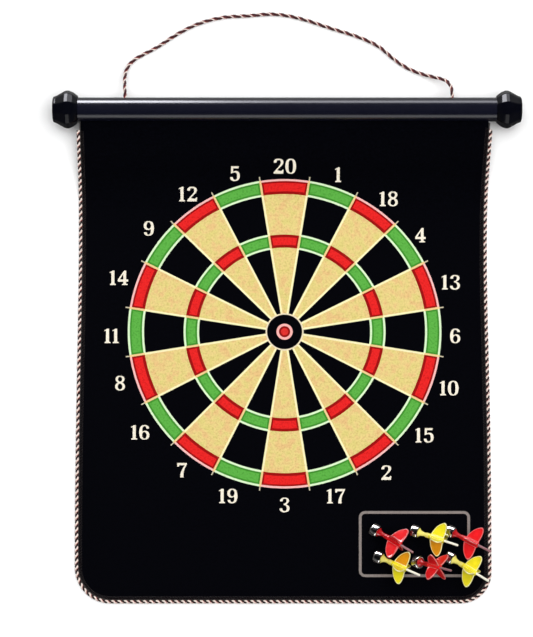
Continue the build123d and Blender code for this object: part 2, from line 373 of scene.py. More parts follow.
def rounded(points, radius, steps=4):
    """The profile with each inner corner that carries a True flag rounded to this radius."""
    made = []
    for index, point in enumerate(points):
        if len(point) == 2:
            made.append(point)
            continue
        at = Vector(point[:2])
        before, after = Vector(points[index - 1][:2]), Vector(points[index + 1][:2])
        start = at + (before - at).normalized() * radius
        end = at + (after - at).normalized() * radius
        for step in range(steps + 1):
            share = step / steps
            low, high = start.lerp(at, share), at.lerp(end, share)
            made.append(tuple(low.lerp(high, share)))
    return made


def sheet_z(y, height):
    """Height above the table of the sheet's surface at y; height is measured square to the sheet."""
    if y <= BEND_START_Y:
        return height
    turning = BEND_START_Y + (BEND_R - height) * BEND_SINE
    if y < turning:
        return BEND_R - math.sqrt((BEND_R - height) ** 2 - (y - BEND_START_Y) ** 2)
    if y < SLOT_MOUTH_Y:
        return RISE - BEND_R + math.sqrt((BEND_R + height) ** 2 - (SLOT_MOUTH_Y - y) ** 2)
    return RISE + height


# ---- the sheet's outline


def outline_sides():
    """The cut's left and right sides from the CAD sheet, as rows of (y, x) from the bottom up."""
    low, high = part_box("front_fabric")
    middle = (low[0] + high[0]) / 2
    shoulder = SLOT_MOUTH_Y - 0.01 * MM
    sides = []
    for sign in (-1, 1):
        found = {}
        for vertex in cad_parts["front_fabric"].data.vertices:
            x, y = vertex.co.x, vertex.co.y
            if (x - middle) * sign > 0 and y < shoulder:
                key = round(y, 4)
                found[key] = max(found.get(key, 0), x * sign)
        sides.append(np.array([(y, found[y] * sign) for y in sorted(found)]))
    return sides


LEFT_SIDE, RIGHT_SIDE = outline_sides()
SHEET_BOTTOM_Y = LEFT_SIDE[0, 0]


def side_x(side, y):
    return float(np.interp(y, side[:, 0], side[:, 1]))


def edge_path(inset, step):
    """Evenly spaced points round the free edge, left top to right top, moved inwards by inset."""
    points = np.vstack((LEFT_SIDE[::-1], RIGHT_SIDE))[:, ::-1]
    path, _ = evenly(points[np.diff(distances(points), prepend=-1.0) > 1e-6], step)
    tangent = np.gradient(path, axis=0)
    for _ in range(3):
        tangent[1:-1] = (tangent[:-2] + tangent[1:-1] + tangent[2:]) / 3
    tangent /= np.linalg.norm(tangent, axis=1)[:, None]
    inward = np.column_stack([-tangent[:, 1], tangent[:, 0]])
    return path + inward * inset, tangent, inward


# ---- cloth layers

CLOTH_INSET = 1.0 * MM
RIM = 5.0 * MM
RIM_PRESS = 0.25 * MM
CLOTH_COLUMNS = 96
# The shoulders reach almost to the tube, which the sheet touches with its neck only
SHOULDER_Y = TUBE_LOW.y - 0.1 * MM


def cloth_rows():
    """The y of each row of the cloth, close together round the corners and over the bend."""
    corner = 29 * MM
    turns = np.linspace(0, math.pi / 2, 10)
    low = SHEET_BOTTOM_Y + CLOTH_INSET + corner * (1 - np.cos(turns))
    flat = np.linspace(low[-1], BEND_START_Y, 70)[1:]
    bend = np.linspace(BEND_START_Y, SLOT_MOUTH_Y - 0.05 * MM, 36)[1:]
    return [*low, *flat, *bend, SHOULDER_Y]


def cloth_layer(name, low_height, high_height, material, node):
    """One closed layer of cloth whose rim is pressed thinner under the edge thread."""
    rows = []
    for y in cloth_rows():
        outer_y = max(y - CLOTH_INSET, SHEET_BOTTOM_Y)
        rows.append((y, side_x(LEFT_SIDE, outer_y) + CLOTH_INSET, side_x(RIGHT_SIDE, outer_y) - CLOTH_INSET))
    # The neck that runs on through the slot into the tube
    neck_low, neck_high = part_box("retaining_bead")
    rows += [(y, neck_low[0], neck_high[0]) for y in (SHOULDER_Y + 0.3 * MM, SHEET_END_Y)]
    top, bottom = [], []
    for y, left, right in rows:
        for column in range(CLOTH_COLUMNS + 1):
            x = left + (right - left) * column / CLOTH_COLUMNS
            margin = min(x - left, right - x, y - rows[0][0]) if y <= SHOULDER_Y else RIM
            squeeze = RIM_PRESS * max(0.0, 1 - margin / RIM) ** 0.5
            top.append((x, y, sheet_z(y, high_height - (squeeze if high_height > MM else 0))))
            bottom.append((x, y, sheet_z(y, low_height + (squeeze if low_height < 0.1 * MM else 0))))
    columns, count = CLOTH_COLUMNS + 1, len(rows)
    faces = grid_faces(count, columns)
    shift = len(top)
    faces += [tuple(i + shift for i in reversed(face)) for face in grid_faces(count, columns)]
    grid = np.arange(shift).reshape(count, columns)
    ring = np.concatenate((grid[0], grid[1:, -1], grid[-1, -2::-1], grid[-2:0:-1, 0])).tolist()
    for a, b in zip(ring, ring[1:] + ring[:1]):
        faces.append((b, a, a + shift, b + shift))
    mesh = mesh_of(name, top + bottom, faces)
    piece = add_piece(name, mesh, [material], replaces=[node])


# ---- printed ink

INK_LOW = -0.01 * MM
FILL_TOP = 0.07 * MM
LINE_TOP = 0.11 * MM
CUT_EVERY = 3.0 * MM


def filled_mesh(loops, smooth_points=False):
    """A flat mesh inside closed loops; a loop inside another is a hole. Points may carry a smooth flag."""
    curve = bpy.data.curves.new("outline", "CURVE")
    curve.dimensions = "2D"
    curve.fill_mode = "BOTH"
    curve.resolution_u = 4
    for loop in loops:
        spline = curve.splines.new("BEZIER" if smooth_points else "POLY")
        points = spline.bezier_points if smooth_points else spline.points
        points.add(len(loop) - 1)
        for point, (x, y, *smooth) in zip(points, loop):
            if smooth_points:
                point.co = (x, y, 0)
                point.handle_left_type = point.handle_right_type = "AUTO" if smooth else "VECTOR"
            else:
                point.co = (x, y, 0, 1)
        spline.use_cyclic_u = True
    return mesh_of_curve(curve)


def thin_strokes(plate, amount):
    """Moves the outlines of flat shapes inwards by about this amount."""
    ways = {}
    for edge in plate.edges:
        if len(edge.link_faces) != 1:
            continue
        start, end = edge.verts
        along = (end.co - start.co).normalized()
        across = Vector((-along.y, along.x, 0))
        if across.dot(edge.link_faces[0].calc_center_median() - start.co) < 0:
            across.negate()
        for vertex in edge.verts:
            ways.setdefault(vertex, []).append(across)
    for vertex, pushes in ways.items():
        total = sum(pushes, Vector())
        if total.length > 0.3:
            vertex.co += total.normalized() * amount / max(total.length / 2, 0.6)


def print_ink(name, shapes, material, top, smooth_points=False, thinner=0.0):
    """Thin closed ink on the cloth: shapes are lists of loops in plan, and the ink follows the bend."""
    plate = bmesh.new()
    for loops in shapes:
        plate.from_mesh(filled_mesh(loops, smooth_points))
    bmesh.ops.remove_doubles(plate, verts=plate.verts, dist=1e-7)
    if thinner:
        thin_strokes(plate, thinner)
    y = BEND_START_Y - 2 * CUT_EVERY
    while y < SLOT_MOUTH_Y:
        geometry = plate.verts[:] + plate.edges[:] + plate.faces[:]
        bmesh.ops.bisect_plane(plate, geom=geometry, dist=1e-7, plane_co=(0, y, 0), plane_no=(0, 1, 0))
        y += CUT_EVERY
    bmesh.ops.recalc_face_normals(plate, faces=plate.faces)
    if sum(face.normal.z * face.calc_area() for face in plate.faces) < 0:
        bmesh.ops.reverse_faces(plate, faces=plate.faces)
    raised = bmesh.ops.extrude_face_region(plate, geom=plate.faces[:])
    upper = {v for v in raised["geom"] if isinstance(v, bmesh.types.BMVert)}
    for vertex in plate.verts:
        vertex.co.z = sheet_z(vertex.co.y, SHEET_T + (top if vertex in upper else INK_LOW))
    bmesh.ops.recalc_face_normals(plate, faces=plate.faces)
    mesh = bpy.data.meshes.new(name)
    plate.to_mesh(mesh)
    plate.free()
    return add_piece(name, mesh, [material], smooth=False)


TARGET = Vector((-2.1 * MM, 13.1 * MM))
BULL_R = 16.5 * MM
BULL_PINK_R = 7.2 * MM
BULL_DARK_R = 5.0 * MM
BULL_CORE_R = 3.2 * MM
TRIPLE = (76.5 * MM, 88.4 * MM)
DOUBLE = (125.2 * MM, 137.8 * MM)
TICK_R = 142.3 * MM
TICK_W = 1.1 * MM
SECTORS = 20
SECTOR = 2 * math.pi / SECTORS
LINE_W = 1.8 * MM
CELL_RIM = 2.5 * MM
# The print is a little shorter above its centre than below
UPPER_SHARE = 0.971
ARC_STEP = math.radians(1.5)


def polar(radius, turn):
    """Point of the target; turn runs clockwise from the top."""
    rise = radius * math.cos(turn)
    return (TARGET.x + radius * math.sin(turn), TARGET.y + (rise * UPPER_SHARE if rise > 0 else rise))


def arc(radius, start, end):
    steps = max(2, round(abs(end - start) / ARC_STEP))
    return [polar(radius, start + (end - start) * step / steps) for step in range(steps + 1)]


def cell(inner, outer, sector, inset=0.0):
    """One sector's piece of a ring, without a rim of this width, as a closed loop."""
    start, end = (sector - 0.5) * SECTOR, (sector + 0.5) * SECTOR
    low, high = inner + inset, outer - inset
    near, far = inset / low, inset / high
    return [[*arc(low, start + near, end - near), *arc(high, end - far, start + far)]]


def circle(radius):
    return [arc(radius, 0, 2 * math.pi)[:-1]]


def band(inner, outer):
    """A full ring: its outer loop and the hole in it."""
    return circle(outer) + circle(inner)


def arc_line(radius, width, sector):
    return cell(radius - width / 2, radius + width / 2, sector)


def spoke(turn, inner, outer, width):
    """A straight line of this width along a radius."""
    near, far = Vector(polar(inner, turn)), Vector(polar(outer, turn))
    along = (far - near).normalized()
    across = Vector((along.y, -along.x)) * (width / 2)
    return [[tuple(near - across), tuple(far - across), tuple(far + across), tuple(near + across)]]


def print_target():
    """Wedges, rings, bull and the lines between them."""
    bright = range(0, SECTORS, 2)
    dark = range(1, SECTORS, 2)
    half = LINE_W / 2
    cream = [cell(BULL_R, TRIPLE[0], s) for s in bright] + [cell(TRIPLE[1], DOUBLE[0], s) for s in bright]
    print_ink("print_cream", cream, "cream", FILL_TOP)
    rings = (TRIPLE, DOUBLE)
    for colour, sectors in (("red", bright), ("green", dark)):
        cells = [cell(*ring, s) for s in sectors for ring in rings]
        cores = [cell(*ring, s, CELL_RIM) for s in sectors for ring in rings]
        print_ink(f"print_{colour}_rims", cells, f"{colour}_rim", FILL_TOP)
        print_ink(f"print_{colour}", cores, colour, FILL_TOP + 0.02 * MM)
    green_arcs = [arc_line(r, LINE_W, s) for s in dark for ring in rings for r in ring]
    print_ink("print_arcs_green", green_arcs, "line_green", LINE_TOP)
    print_ink("print_arcs_red", [arc_line(DOUBLE[1], LINE_W, s) for s in bright], "line_red", LINE_TOP)
    turns = [(sector + 0.5) * SECTOR for sector in range(SECTORS)]
    beds = [(BULL_R + 0.3 * half, TRIPLE[0]), (TRIPLE[1], DOUBLE[0])]
    over_beds = [spoke(turn, *bed, LINE_W) for turn in turns for bed in beds]
    past_ring = [TRIPLE, (DOUBLE[0], DOUBLE[1] + half)]
    over_rings = [spoke(turn, *ring, LINE_W) for turn in turns for ring in past_ring]
    print_ink("print_spokes", over_beds, "line", LINE_TOP + 0.03 * MM)
    print_ink("print_ring_spokes", over_rings, "line_ring", LINE_TOP + 0.03 * MM)
    ticks = [spoke(turn, DOUBLE[1] + half, TICK_R, TICK_W) for turn in turns]
    print_ink("print_ticks", ticks, "tick", LINE_TOP)
    bull = [("ring", band(BULL_R - 1.0 * MM, BULL_R + 0.3 * MM), "ring_pale", LINE_TOP + 0.06 * MM),
            ("pink", band(BULL_DARK_R, BULL_PINK_R), "pink", LINE_TOP),
            ("dark", band(BULL_CORE_R, BULL_DARK_R), "red_dark", FILL_TOP),
            ("red", circle(BULL_CORE_R), "bull_core", FILL_TOP)]
    for part, loops, ink_name, top in bull:
        print_ink(f"print_bull_{part}", [loops], ink_name, top)


def mirrored(half):
    """A closed loop from its right half, which runs down from the top."""
    return half + [(-x, y, *flag) for x, y, *flag in reversed(half) if x]


# Bold slab numerals on a grid 8.8 wide and 15.4 high; a third value marks a smooth point.
S = True
GLYPHS = {
    "0": [
        mirrored([(0, 7.7, S), (3.0, 6.6, S), (4.4, 3.4, S), (4.4, -3.4, S), (3.0, -6.6, S), (0, -7.7, S)]),
        mirrored([(0, 6.1, S), (1.3, 4.8, S), (1.6, 2.8, S), (1.6, -2.8, S), (1.3, -4.8, S), (0, -6.1, S)]),
    ],
    "1": [[(-2.7, -7.6), (2.7, -7.6), (2.7, -6.1), (1.5, -5.5), (1.5, 7.6), (-0.3, 7.6), (-2.9, 5.8),
           (-2.9, 4.4), (-1.5, 5.0), (-1.5, -5.5), (-2.7, -6.1)]],
    "2": [[(-4.3, 3.2), (-4.2, 5.2, S), (-2.6, 7.2, S), (0.2, 7.7, S), (3.2, 6.8, S), (4.3, 4.4, S),
           (3.6, 1.6, S), (1.2, -1.4, S), (-0.8, -3.7), (0.8, -4.2, S), (2.4, -4.3, S), (3.3, -3.0),
           (4.5, -3.0), (4.2, -7.6), (-4.4, -7.6), (-4.4, -6.0), (-2.4, -3.2, S), (0.2, 0.2, S),
           (1.4, 2.6, S), (1.5, 4.6, S), (0.3, 6.0, S), (-1.2, 5.2, S), (-1.5, 3.2)]],
    "3": [[(-4.1, 3.4), (-4.0, 5.2, S), (-2.4, 7.2, S), (0.2, 7.7, S), (3.0, 6.8, S), (4.0, 4.4, S),
           (3.2, 2.0, S), (1.7, 0.7), (3.6, -0.8, S), (4.4, -3.4, S), (3.2, -6.6, S), (0.2, -7.7, S),
           (-2.6, -7.2, S), (-4.3, -5.2, S), (-4.4, -3.2), (-1.7, -3.2), (-1.4, -5.0, S), (0, -6.0, S),
           (1.4, -5.0, S), (1.6, -3.2, S), (0.9, -1.0, S), (-1.0, -0.3), (-1.0, 1.5), (0.8, 2.2, S),
           (1.4, 4.2, S), (1.1, 5.6, S), (0, 6.1, S), (-1.2, 5.2, S), (-1.4, 3.4)]],
    "4": [[(0.9, 7.6), (2.9, 7.6), (2.9, -1.4), (4.6, -1.4), (4.6, -3.6), (2.9, -3.6), (2.9, -5.8),
           (4.2, -6.2), (4.2, -7.6), (-1.2, -7.6), (-1.2, -6.2), (0.1, -5.8), (0.1, -3.6), (-4.7, -3.6),
           (-4.7, -1.7)],
          [(0.1, 3.4), (0.1, -1.4), (-2.3, -1.4)]],
    "5": [[(-3.4, 7.6), (3.8, 7.6), (3.3, 4.9), (-1.2, 4.9), (-1.3, 2.3), (0.7, 2.9, S), (3.4, 1.6, S),
           (4.4, -2.2, S), (3.3, -6.2, S), (0.2, -7.7, S), (-2.6, -7.2, S), (-4.1, -5.2, S), (-4.2, -3.2),
           (-1.6, -3.2), (-1.2, -5.0, S), (0.1, -6.0, S), (1.3, -5.0, S), (1.6, -2.2, S), (1.1, 0.2, S),
           (-0.3, 0.9, S), (-1.8, 0.4, S), (-3.6, -0.4)]],
    "6": [
        [(4.1, 3.6), (3.9, 5.6, S), (2.4, 7.2, S), (0, 7.7, S), (-3.0, 6.4, S), (-4.4, 2.8, S),
         (-4.4, -2.8, S), (-3.2, -6.4, S), (0, -7.7, S), (3.2, -6.4, S), (4.4, -2.6, S), (3.2, 0.8, S),
         (0.6, 1.9, S), (-1.5, 1.1), (-1.5, 3.4, S), (-1.0, 5.2, S), (0.2, 6.0, S), (1.2, 5.2, S),
         (1.5, 3.6)],
        [(0, 0.1, S), (1.4, -1.2, S), (1.5, -4.2, S), (0, -6.1, S), (-1.4, -4.6, S), (-1.4, -1.2, S)],
    ],
    "7": [[(-4.3, 7.6), (4.4, 7.6), (4.4, 6.0), (2.5, 1.6, S), (1.5, -3.0, S), (1.5, -7.6), (-1.8, -7.6),
           (-1.4, -3.4, S), (0.2, 1.4, S), (2.0, 4.8), (-2.0, 4.8), (-2.6, 3.4), (-4.3, 3.4)]],
    "8": [
        mirrored([(0, 7.7, S), (2.9, 6.9, S), (4.0, 4.4, S), (3.4, 2.0, S), (2.3, 0.7), (3.8, -1.0, S),
                  (4.4, -3.6, S), (3.2, -6.6, S), (0, -7.7, S)]),
        mirrored([(0, 6.2, S), (1.4, 4.9, S), (1.3, 2.9, S), (0, 1.9, S)]),
        mirrored([(0, -0.7, S), (1.5, -2.2, S), (1.5, -4.8, S), (0, -6.2, S)]),
    ],
}
GLYPHS["9"] = [[(-x, -y, *flag) for x, y, *flag in loop] for loop in GLYPHS["6"]]
GLYPH_WIDTH = {digit: 8.8 for digit in GLYPHS} | {"1": 5.4}
GLYPH_GAP = 1.5
GLYPH_X = 1.04 * MM
GLYPH_Y = 0.87 * MM
STROKE_TRIM = 0.24 * MM
CLOCKWISE = [20, 1, 18, 4, 13, 6, 10, 15, 2, 17, 3, 19, 7, 16, 8, 11, 14, 9, 12, 5]
NUMBER_RING = (153.0 * MM, 149.5 * MM)
NUMBER_DROP = 3.8 * MM
# How far a few numbers stray from the even ring
STRAYS = {4: (-3.6, 1.2), 18: (2.2, 0.2), 13: (1.6, 1.2), 17: (-1.8, 0.4), 19: (-2.6, 0.6), 16: (-3.8, 2.6),
          7: (-0.8, 2.2), 14: (-1.0, 5.2), 9: (3.6, 7.2), 12: (4.6, 4.4), 5: (3.4, 1.0), 8: (0, 4.4),
          6: (-2.0, 0)}


def print_numbers():
    """The twenty upright numbers round the target."""
    shapes = []
    for sector, number in enumerate(CLOCKWISE):
        turn = sector * SECTOR
        stray = STRAYS.get(number, (0, 0))
        x = TARGET.x + NUMBER_RING[0] * math.sin(turn) + stray[0] * MM
        y = TARGET.y + NUMBER_RING[1] * math.cos(turn) - NUMBER_DROP + stray[1] * MM
        digits = str(number)
        total = sum(GLYPH_WIDTH[d] for d in digits) + GLYPH_GAP * (len(digits) - 1)
        left = -total / 2
        for digit in digits:
            centre = left + GLYPH_WIDTH[digit] / 2
            shapes.append([
                [(x + (centre + u) * GLYPH_X, y + v * GLYPH_Y, *flag) for u, v, *flag in loop]
                for loop in GLYPHS[digit]
            ])
            left += GLYPH_WIDTH[digit] + GLYPH_GAP
    print_ink("print_numbers", shapes, "number", FILL_TOP, smooth_points=True, thinner=STROKE_TRIM)


TRAY_LOW = Vector((63.6 * MM, -204.0 * MM))
TRAY_HIGH = Vector((161.9 * MM, -145.6 * MM))
TRAY_CORNER = 5.5 * MM
TRAY_LINE = 2.4 * MM


def rounded_box(low, high, radius):
    """Closed loop of a rectangle with round corners."""
    left, right, near, far = low.x + radius, high.x - radius, low.y + radius, high.y - radius
    loop = []
    for quarter, (x, y) in enumerate([(right, far), (left, far), (left, near), (right, near)]):
        for step in range(7):
            turn = math.pi / 2 * (quarter + step / 6)
            loop.append((x + radius * math.cos(turn), y + radius * math.sin(turn)))
    return loop


def print_tray():
    """The printed frame that the darts are stored in."""
    line = Vector((TRAY_LINE, TRAY_LINE))
    outer = rounded_box(TRAY_LOW, TRAY_HIGH, TRAY_CORNER)
    inner = rounded_box(TRAY_LOW + line, TRAY_HIGH - line, TRAY_CORNER - TRAY_LINE)
    print_ink("print_tray", [[outer, inner]], "tray", FILL_TOP)


# ---- yarns

# How deep the grooves between a yarn's own plies are, as a share of its radius
LOBE_DEPTH = 0.14


def carried(tangent, start):
    """A direction square to the line, carried along it from a start without twisting."""
    side = np.empty_like(tangent)
    side[0] = start / np.linalg.norm(start)
    for i in range(1, len(tangent)):
        turned = side[i - 1] - tangent[i] * np.dot(side[i - 1], tangent[i])
        side[i] = turned / np.linalg.norm(turned)
    return side


def tube_mesh(path, radius, sides, lobes=0, lobe_pitch=1.0):
    """Vertices and faces of a yarn along a path: lobes wind round it as its own plies do."""
    path = np.asarray(path, dtype=float)
    tangent = directions(path)
    start = np.cross(tangent[0], (0.0, 0.0, 1.0))
    if np.linalg.norm(start) < 1e-3:
        start = np.cross(tangent[0], (0.0, 1.0, 0.0))
    across = carried(tangent, start)
    over = np.cross(across, tangent)
    turn = np.linspace(0, 2 * np.pi, sides, endpoint=False)
    reach = np.full((len(path), sides), radius)
    if lobes:
        phase = lobes * turn[None, :] + 2 * np.pi * distances(path)[:, None] / lobe_pitch
        reach *= 1 - LOBE_DEPTH * (0.5 - 0.5 * np.cos(phase))
    ring = (
        path[:, None, :]
        + across[:, None, :] * (reach * np.cos(turn))[:, :, None]
        + over[:, None, :] * (reach * np.sin(turn))[:, :, None]
    )
    vertices = [*ring.reshape(-1, 3).tolist(), path[0].tolist(), path[-1].tolist()]
    return vertices, capped_faces(len(path), sides)


def merged(parts):
    """Parts of (vertices, faces, material index or list of indices) as one list of each."""
    vertices, faces, indices = [], [], []
    for part_vertices, part_faces, index in parts:
        offset = len(vertices)
        vertices += part_vertices
        faces += [tuple(i + offset for i in face) for face in part_faces]
        indices += index if isinstance(index, list) else [index] * len(part_faces)
    return vertices, faces, indices


def twisted(path, side, up, pitch, strands, sides, lobes):
    """Strands wound round a path: each is (offset, radius, phase, material index), lengths in millimetres."""
    along = distances(path)
    parts = []
    for offset, radius, phase, index in strands:
        turn = 2 * np.pi * along / pitch + phase
        strand = path + offset * MM * (np.cos(turn)[:, None] * side + np.sin(turn)[:, None] * up)
        parts.append((*tube_mesh(strand, radius * MM, sides, lobes, 4 * pitch), index))
    return merged(parts)


# ---- hanging cord

CORD_PITCH = 8.5 * MM
CORD_STEP = 0.45 * MM
LYING = 1.65
# The same route as the CAD cord, in millimetres
CORD_ROUTE = [
    (-142.3, 215.9, 16.07), (-142.3, 223.4, 16.0), (-143.0, 232.4, 12.0), (-142.8, 242.9, 5.0),
    (-138.3, 251.4, LYING), (-129.4, 257.2, LYING), (-114.7, 264.4, LYING), (-98.2, 275.9, LYING),
    (-78.7, 285.9, LYING), (-56.2, 291.7, LYING), (-34.2, 292.3, LYING), (-11.2, 294.7, LYING),
    (13.3, 290.1, LYING), (36.8, 281.9, LYING), (60.8, 274.9, LYING), (80.8, 266.4, LYING),
    (92.8, 255.4, LYING), (104.8, 246.7, LYING), (118.3, 241.1, 2.2), (129.8, 237.7, 5.5),
    (138.8, 235.3, 9.8), (143.6, 230.5, 13.8), (145.2, 223.3, 15.9), (144.8, 215.9, 16.07),
]


def nurbs_line(route, resolution):
    """Points of the smooth line whose control points are the route's, in metres."""
    curve = bpy.data.curves.new("route", "CURVE")
    curve.dimensions = "3D"
    curve.resolution_u = resolution
    spline = curve.splines.new("NURBS")
    spline.points.add(len(route) - 1)
    for point, place in zip(spline.points, route):
        point.co = (*[value * MM for value in place], 1)
    spline.order_u = 3
    spline.use_endpoint_u = True
    return np.array([vertex.co[:] for vertex in mesh_of_curve(curve).vertices])


def hanging_cord():
    """Twisted cord: a dark ply, a thinner pale ply and a red thread in one groove."""
    path, length = evenly(nurbs_line(CORD_ROUTE, 24), CORD_STEP)
    tangent = directions(path)
    side = carried(tangent, np.array((1.0, 0.0, 0.0)) - tangent[0] * tangent[0][0])
    strands = [(0.50, 1.14, 0.0, 0), (1.10, 0.54, math.pi, 1), (1.36, 0.24, math.pi * 0.64, 2)]
    solid = twisted(path, side, np.cross(tangent, side), CORD_PITCH, strands, 14, 5)
    mesh = mesh_of("hanging_cord_twist", *solid)
    piece = add_piece("hanging_cord_twist", mesh, ["yarn_maroon", "yarn_pale", "yarn_red"],
                      replaces=["hanging_cord"])


# ---- edge thread

EDGE_PITCH = 5.6 * MM
YARN_OUT = 1.0 * MM
YARN_HEIGHT = 1.36 * MM
YARN_FLATNESS = 0.55
STITCH_STEP = 1.35 * MM


def edge_thread():
    """Twisted two-colour yarn along the cut edge, held by slanted overlock stitches."""
    path, _, inward = edge_path(-YARN_OUT, 0.45 * MM)
    kept = path[:, 1] < SLOT_MOUTH_Y - 1.2 * MM
    path, inward = path[kept], inward[kept]
    centre = np.array([(x, y, sheet_z(y, YARN_HEIGHT)) for x, y in path])
    side = np.column_stack([-inward, np.zeros(len(path))])
    up = np.cross(directions(centre), side) * YARN_FLATNESS
    strands = [(0.70, 0.84, 0.0, 0), (0.84, 0.86, math.pi, 1), (1.3, 0.22, 0.6 * math.pi, 2)]
    mesh = mesh_of("edge_yarn", *twisted(centre, side, up, EDGE_PITCH, strands, 10, 4))
    add_piece("edge_yarn", mesh, ["yarn_dark", "yarn_pale", "yarn_red"])


def edge_stitches():
    """Slanted overlock stitches over both faces of the rim."""
    path, tangent, inward = edge_path(0.35 * MM, STITCH_STEP)
    parts = []
    reach, slant, radius = 3.6 * MM, 1.5 * MM, 0.24 * MM
    # Across the rim: (share of the reach, height above the table, share of the slant)
    shape = [(1.0, 1.35, 1.0), (0.75, 1.62, 0.75), (0.45, 1.72, 0.45), (0.2, 1.74, 0.2), (0.0, 1.6, 0.0),
             (-0.1, 0.95, -0.05), (0.0, 0.35, 0.0), (0.25, 0.24, 0.25), (1.0, 0.26, 1.0)]
    for (x, y), along, across in zip(path, tangent, inward):
        if y + slant > SLOT_MOUTH_Y - 1.5 * MM:
            continue
        points = []
        for share, height, shift in shape:
            place = np.array([x, y]) + across * reach * share + along * slant * shift
            points.append((place[0], place[1], sheet_z(place[1], height * MM)))
        parts.append((*tube_mesh(points, radius, 6), 0))
    mesh = mesh_of("edge_stitches", *merged(parts))
    add_piece("edge_stitches", mesh, ["thread"], replaces=["edge_overlock"])


# ---- tube ends

# Places along the knob and radii there, in millimetres, from inside the tube to the end
KNOB_PROFILE = [(-12.0, 0.0), (-12.0, 8.9), (0.0, 8.9), (0.0, 12.0), (4.2, 15.2), (8.2, 16.9), (11.0, 16.7),
                (15.2, 14.3), (19.0, 12.2), (22.0, 11.2), (22.0, 0.0)]
KNOB_FACETS = 10
TUBE_HALF = TUBE_HIGH.x


def knob(name, sign, node):
    """Ten-sided faceted knob with softened edges on its spigot."""
    profile = [(along * MM, radius * MM) for along, radius in KNOB_PROFILE]
    mesh = mesh_of(name, *lathe(profile, KNOB_FACETS))
    turn = Matrix.Identity(4) if sign > 0 else Matrix.Rotation(math.pi, 4, "Z")
    mesh.transform(Matrix.Translation((sign * TUBE_HALF, AXIS_Y, AXIS_Z)) @ turn)
    body = bmesh.new()
    body.from_mesh(mesh)
    bmesh.ops.dissolve_limit(body, angle_limit=math.radians(1), verts=body.verts, edges=body.edges)
    bmesh.ops.bevel(body, geom=body.edges[:], offset=1.0 * MM, segments=3, profile=0.5, affect="EDGES",
                    clamp_overlap=True)
    bmesh.ops.recalc_face_normals(body, faces=body.faces)
    body.to_mesh(mesh)
    body.free()
    piece = add_piece(name, mesh, ["knob"], replaces=[node])
    piece.modifiers.new("facets", "WEIGHTED_NORMAL")


# ---- darts

CUP_R = 5.8
CUP_LENGTH = 7.6
CUP_NOSE_ROUND = 2.0
CUP_BACK_ROUND = 1.2
MAGNET_R = 3.7
SLEEVE_START = 17.2
SLEEVE_END = 31.6
PIN_START = 27.0
PIN_END = 45.0
LIFT_GAP = 0.15
# Nose x and y in millimetres, heading, lean and roll in degrees, as in the CAD model, and its colour
DARTS = [
    (75.0, -160.3, -29.0, 27.0, 16.0, "red"),
    (109.3, -161.8, -16.8, 20.2, -8.0, "yellow"),
    (141.1, -161.7, -25.3, 23.5, 3.0, "red"),
    (77.3, -184.1, -22.5, 20.0, -12.0, "yellow"),
    (112.7, -189.3, -9.6, 48.0, 42.0, "red"),
    (140.7, -184.3, -30.2, 23.5, -11.0, "yellow"),
]
FIN_OUTLINE = [(18.5, 1.6), (19.6, 5.4, S), (22.4, 10.8, S), (26.4, 14.6, S), (28.8, 15.4, S),
               (30.7, 13.4, S), (31.4, 8.4, S), (30.9, 1.6)]


def dart_matrix(nose_x, nose_y, heading, lean, roll):
    """From a dart's own axes, +X from its nose to its tail, to the board's."""
    turn, tilt, spin = (math.radians(angle) for angle in (heading, lean, roll))
    axis = Vector((math.cos(tilt) * math.cos(turn), math.cos(tilt) * math.sin(turn), math.sin(tilt)))
    up = Vector((-math.sin(tilt) * math.cos(turn), -math.sin(tilt) * math.sin(turn), math.cos(tilt)))
    fin_up = up * math.cos(spin) + up.cross(axis) * math.sin(spin)
    third = axis.cross(fin_up)
    rim = (CUP_R - CUP_NOSE_ROUND) * math.cos(tilt) + CUP_NOSE_ROUND * (1 - math.sin(tilt))
    origin = Vector((nose_x, nose_y, SHEET_T / MM + LIFT_GAP + rim)) * MM
    matrix = Matrix((axis, fin_up, third)).transposed().to_4x4()
    return Matrix.Translation(origin) @ matrix


def turned_piece(profile, round_radius, segments=40):
    scaled = [tuple(value * MM for value in point[:2]) + tuple(point[2:]) for point in profile]
    return lathe(rounded(scaled, round_radius * MM), segments)


def quarter_round(along, radius, size, start):
    """Profile points of a quarter circle round (along, radius), from this angle back by 90 degrees."""
    turns = [start - math.pi / 2 * step / 6 for step in range(7)]
    return [(along + size * math.cos(turn), radius + size * math.sin(turn)) for turn in turns]


def cup_solid():
    """Plated cup with a well rounded nose, a softer back edge and the magnet's seat."""
    nose = quarter_round(CUP_NOSE_ROUND, CUP_R - CUP_NOSE_ROUND, CUP_NOSE_ROUND, math.pi)
    back = quarter_round(CUP_LENGTH - CUP_BACK_ROUND, CUP_R - CUP_BACK_ROUND, CUP_BACK_ROUND, math.pi / 2)
    seat = [(2.95, 0), (2.95, MAGNET_R + 0.04), (0.03, MAGNET_R + 0.04)]
    return turned_piece([*seat, *nose, *back, (CUP_LENGTH, 2.6), (4.3, 2.55), (4.3, 0)], 0.1, 48)


def magnet_solid():
    profile = [(0.12, 0), (0.12, MAGNET_R, S), (2.9, MAGNET_R), (2.9, 0)]
    return turned_piece(profile, 0.3)


def barrel_solid():
    """Flare behind the cup, a slim stem with a grip ring and a collar at the flight."""
    profile = [(4.4, 0), (4.4, 2.45), (CUP_LENGTH - 0.02, 2.45), (CUP_LENGTH + 0.02, 4.3, S), (8.4, 3.35),
               (9.5, 2.58), (11.0, 2.08), (13.0, 1.8), (13.4, 1.8), (13.55, 2.0), (13.85, 2.0), (14.0, 1.85),
               (14.8, 2.3, S), (SLEEVE_START, 2.3, S), (SLEEVE_START, 1.42), (PIN_START - 0.1, 1.42),
               (PIN_START - 0.1, 0)]
    return turned_piece(profile, 0.14)


